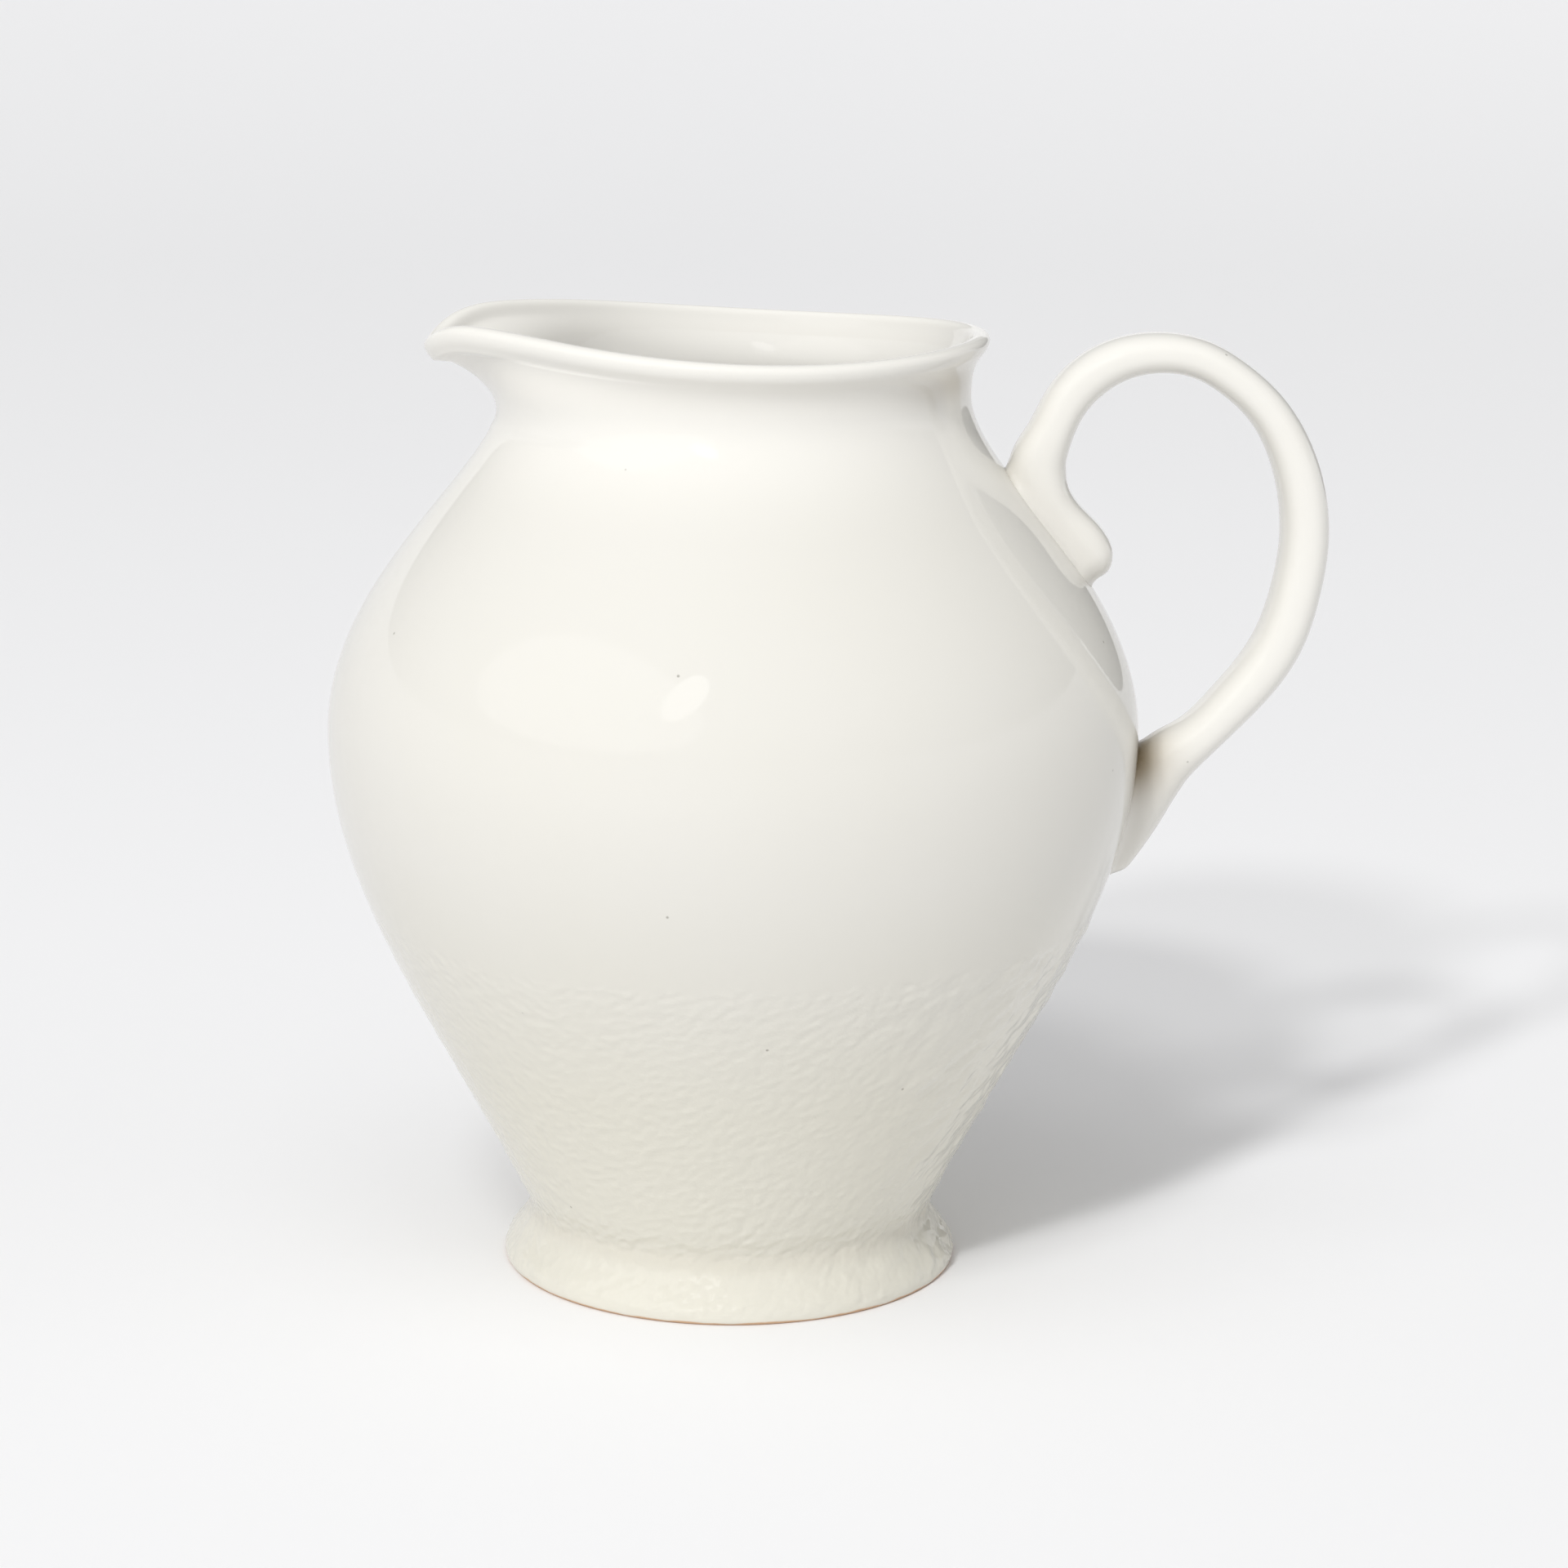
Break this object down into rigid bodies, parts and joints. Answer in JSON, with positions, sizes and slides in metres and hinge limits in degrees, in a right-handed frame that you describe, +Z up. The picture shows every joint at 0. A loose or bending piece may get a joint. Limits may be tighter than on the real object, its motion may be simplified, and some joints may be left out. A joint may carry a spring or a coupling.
{
  "type": "ceramic pitcher",
  "caption": "Round-bellied white glazed jug with a flared foot, rolled lip, pulled spout and a looped strap handle, for holding and pouring liquid.",
  "frame": {"origin": "on the standing plane, under the middle of the whole object from spout side to handle side; the vessel's own axis is 24.1 mm towards -X from it", "axes": "+Z up, the handle towards +X and the spout towards -X; the object is the same on both sides of the XZ plane, but for the hand-made lip, which droops up to 2 mm more on the -Y side of the spout"},
  "size_m": [0.2619, 0.2136, 0.2542],
  "materials": {
    "white_glaze": "glossy warm white glaze over stoneware, smooth above and rippled on the lower wall",
    "fired_slip": "matt buff fired slip"
  },
  "bodies": {
    "root": {"vessel_body": "white_glaze", "foot_ring": "white_glaze", "handle": "white_glaze", "foot_slip_joint": "fired_slip", "upper_handle_slip_joint": "fired_slip", "lower_handle_slip_joint": "fired_slip"}
  },
  "joints": []
}
